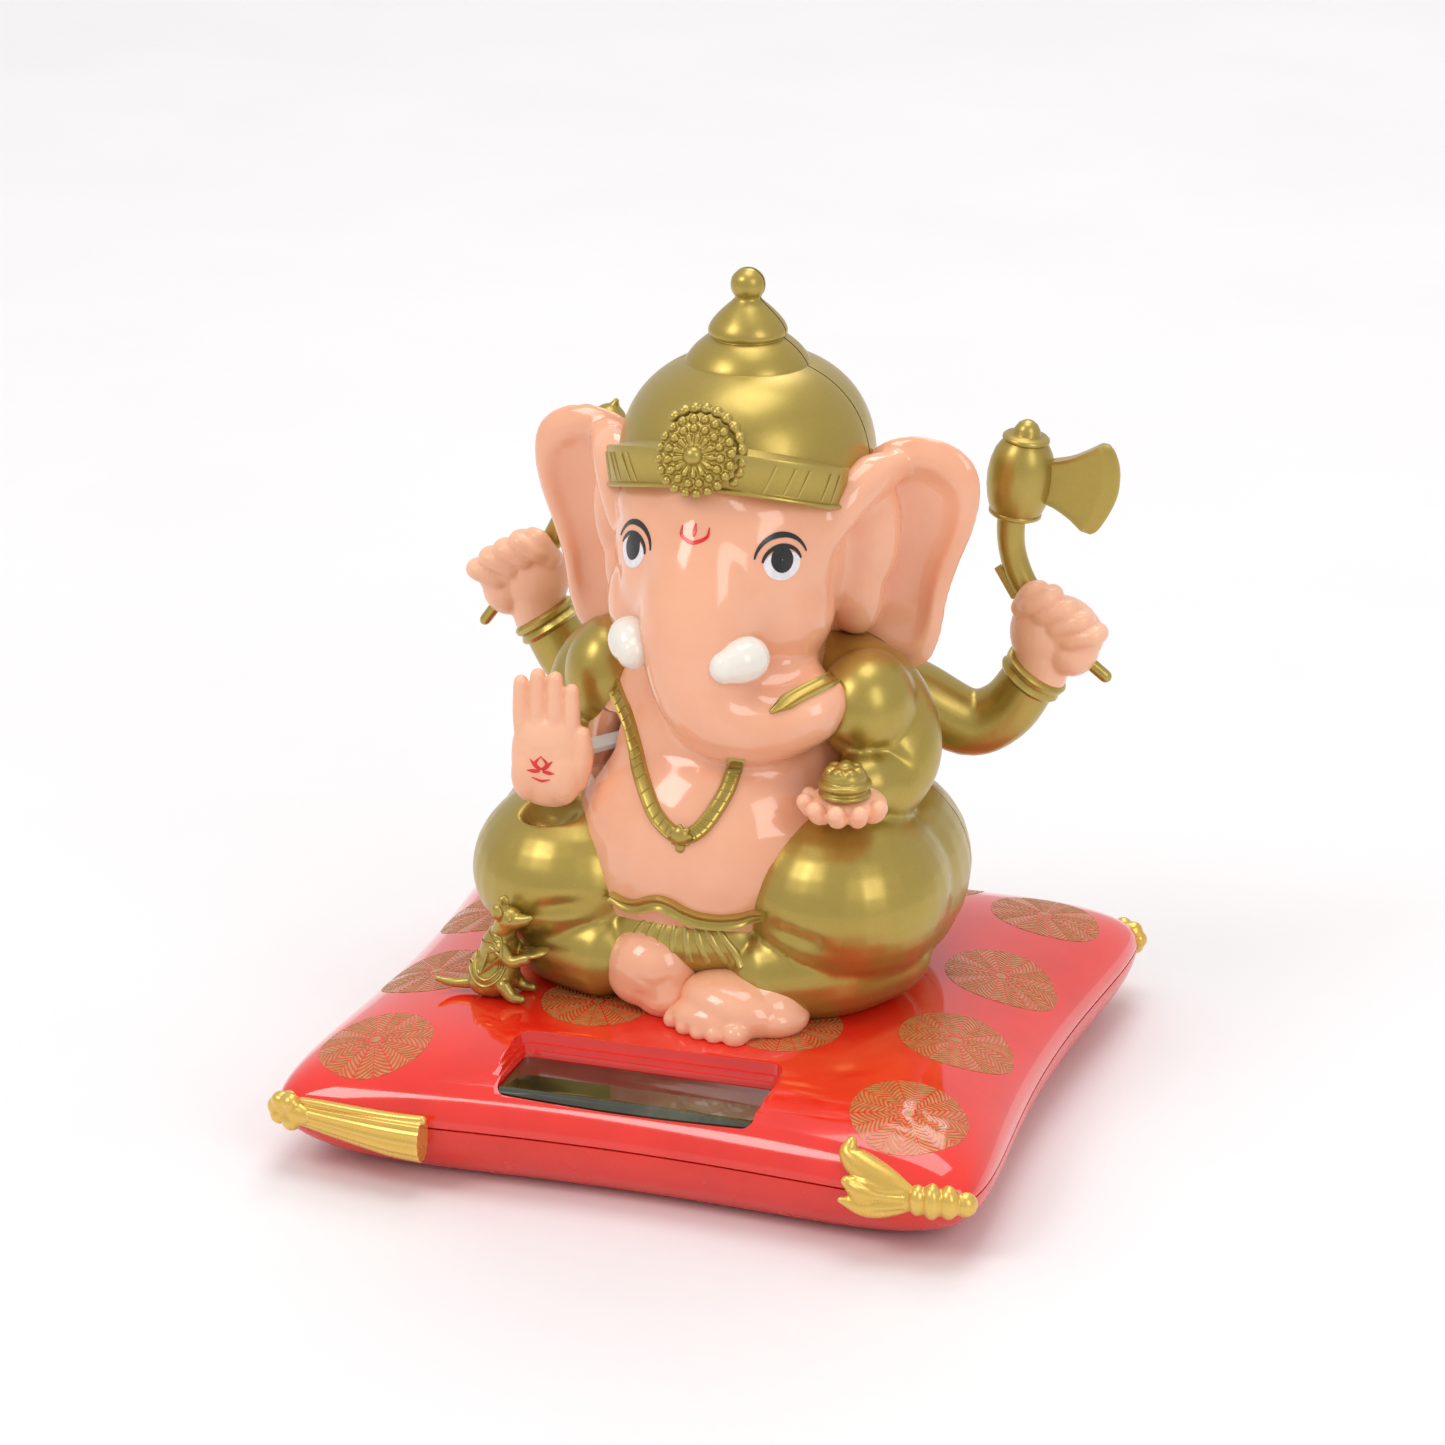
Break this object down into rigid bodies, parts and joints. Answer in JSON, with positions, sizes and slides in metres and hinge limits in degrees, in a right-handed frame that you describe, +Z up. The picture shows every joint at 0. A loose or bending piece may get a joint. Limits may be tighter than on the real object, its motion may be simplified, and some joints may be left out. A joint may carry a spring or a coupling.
{
  "type": "solar ganesha idol",
  "caption": "Seated elephant-headed deity figure on a tasselled cushion base with a solar window and a blessing hand that swings.",
  "frame": {"origin": "centre of the cushion's flat underside", "axes": "+Z up through the hat's finial, -Y the way the figure faces, +X the figure's own left"},
  "size_m": [0.1171, 0.113, 0.1281],
  "materials": {
    "red_plastic": "glossy red plastic",
    "peach_plastic": "glossy peach plastic",
    "gold_paint": "satin gold paint on plastic",
    "tassel_gold": "warm gold paint on plastic",
    "ivory_paint": "ivory white, glossy",
    "window_plastic": "dark tinted clear plastic",
    "cell_glass": "dark solar cell glass",
    "board_laminate": "green laminate",
    "white_plastic": "off-white moulded plastic",
    "black_plastic": "black moulded case",
    "red_wire": "red wire insulation",
    "black_wire": "black wire insulation",
    "copper": "enamelled copper winding",
    "steel": "plain steel",
    "magnet_plating": "nickel-plated magnet"
  },
  "bodies": {
    "figure_on_base": {"cushion_top": "red_plastic", "cushion_bottom": "red_plastic", "solar_window": "window_plastic", "solar_cell": "cell_glass", "red_wire": "red_wire", "black_wire": "black_wire", "circuit_board": "board_laminate", "coil_bobbin": "white_plastic", "drive_coil": "copper", "capacitor": "black_plastic", "driver_chip": "black_plastic", "front_shell": "peach_plastic", "rear_shell": "gold_paint", "tusk_left": "ivory_paint", "tusk_right": "ivory_paint", "rear_arm_left": "gold_paint", "rear_arm_right": "gold_paint", "rear_fist_left": "peach_plastic", "rear_fist_right": "peach_plastic", "axe": "gold_paint", "goad": "gold_paint", "swing_frame": "white_plastic", "frame_screw": "steel", "offering_hand": "peach_plastic", "sweet": "gold_paint", "mouse": "gold_paint", "base_screw_1": "steel", "tassel_1": "tassel_gold", "base_screw_2": "steel", "tassel_2": "tassel_gold", "base_screw_3": "steel", "tassel_3": "tassel_gold", "base_screw_4": "steel", "tassel_4": "tassel_gold", "figure_screw_1": "steel", "board_screw_1": "steel", "figure_screw_2": "steel", "board_screw_2": "steel"},
    "swinging_hand": {"swing_lever": "white_plastic", "swing_shaft": "steel", "magnet": "magnet_plating", "counterweight": "steel", "blessing_hand": "peach_plastic"}
  },
  "joints": [
    {"name": "hand_swing", "type": "hinge", "parent": "figure_on_base", "child": "swinging_hand", "pos_m": [0, 0.004, 0.06], "axis": [1, 0, 0], "range_deg": [-7, 7]}
  ]
}
